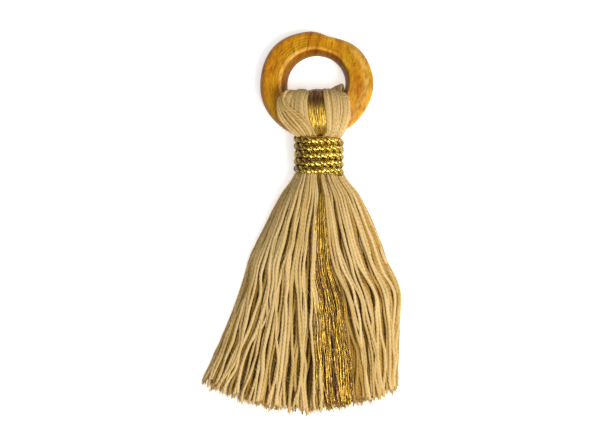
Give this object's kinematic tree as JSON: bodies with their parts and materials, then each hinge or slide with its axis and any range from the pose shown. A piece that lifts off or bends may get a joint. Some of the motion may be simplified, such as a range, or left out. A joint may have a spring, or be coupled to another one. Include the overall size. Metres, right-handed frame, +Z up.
{
  "type": "tassel on a wooden ring",
  "caption": "Cream cotton tassel with a gold thread stripe and a gold cord binding, folded over a small varnished wooden ring, lying on its back.",
  "frame": {"origin": "centre of the bounding box's base, on the surface that the tassel lies on", "axes": "+Y from the cut ends to the ring, +X to the right as seen from above, +Z up off the surface"},
  "size_m": [0.0528, 0.0999, 0.0126],
  "materials": {
    "varnished_wood": "honey coloured hardwood under a semi-gloss varnish, fine grain",
    "cotton_yarn": "undyed two-ply cotton yarn, matt, slightly fuzzy",
    "gold_thread": "fine metallic thread in gold and bronze, glittering",
    "gold_cord": "twisted metallic cord, antique gold, glittering"
  },
  "bodies": {
    "root": {"wooden_ring": "varnished_wood", "cotton_hank": "cotton_yarn", "gold_thread_hank": "gold_thread", "binding_cord": "gold_cord"}
  },
  "joints": []
}
